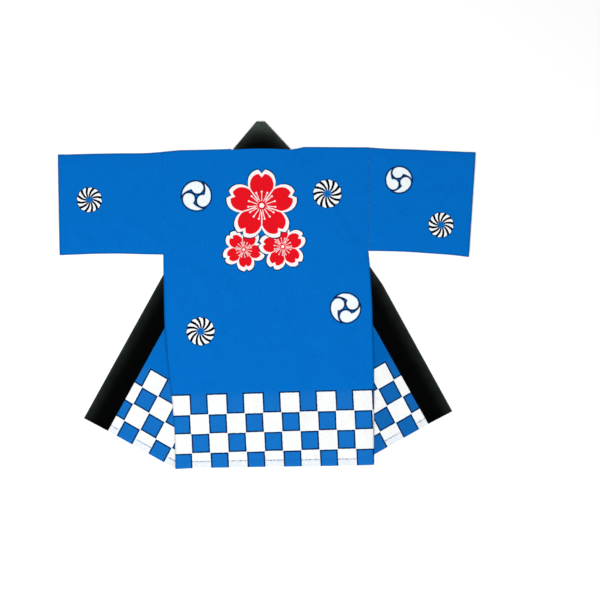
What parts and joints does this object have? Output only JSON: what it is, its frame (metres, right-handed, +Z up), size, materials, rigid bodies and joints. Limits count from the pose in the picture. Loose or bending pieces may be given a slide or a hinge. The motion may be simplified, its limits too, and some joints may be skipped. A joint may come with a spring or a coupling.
{
  "type": "happi coat",
  "caption": "Short straight-sleeved festival coat with a band collar, laid flat back upwards with both fronts folded out.",
  "frame": {"origin": "on the surface it lies on, under the middle of the coat's box", "axes": "+X to the wearer's right, along the sleeves; +Y from the hem to the neck; +Z up, out of the coat's back"},
  "size_m": [1.1147, 0.9274, 0.0051],
  "materials": {
    "blue_cotton": "plain-woven bright blue cotton with white printed checks along the hem and white printed motifs",
    "black_cotton": "plain black cotton, folded to a band and stitched along its edges"
  },
  "bodies": {
    "root": {"back": "blue_cotton", "front_left": "blue_cotton", "front_right": "blue_cotton", "sleeve_left": "blue_cotton", "sleeve_right": "blue_cotton", "collar": "black_cotton"}
  },
  "joints": []
}
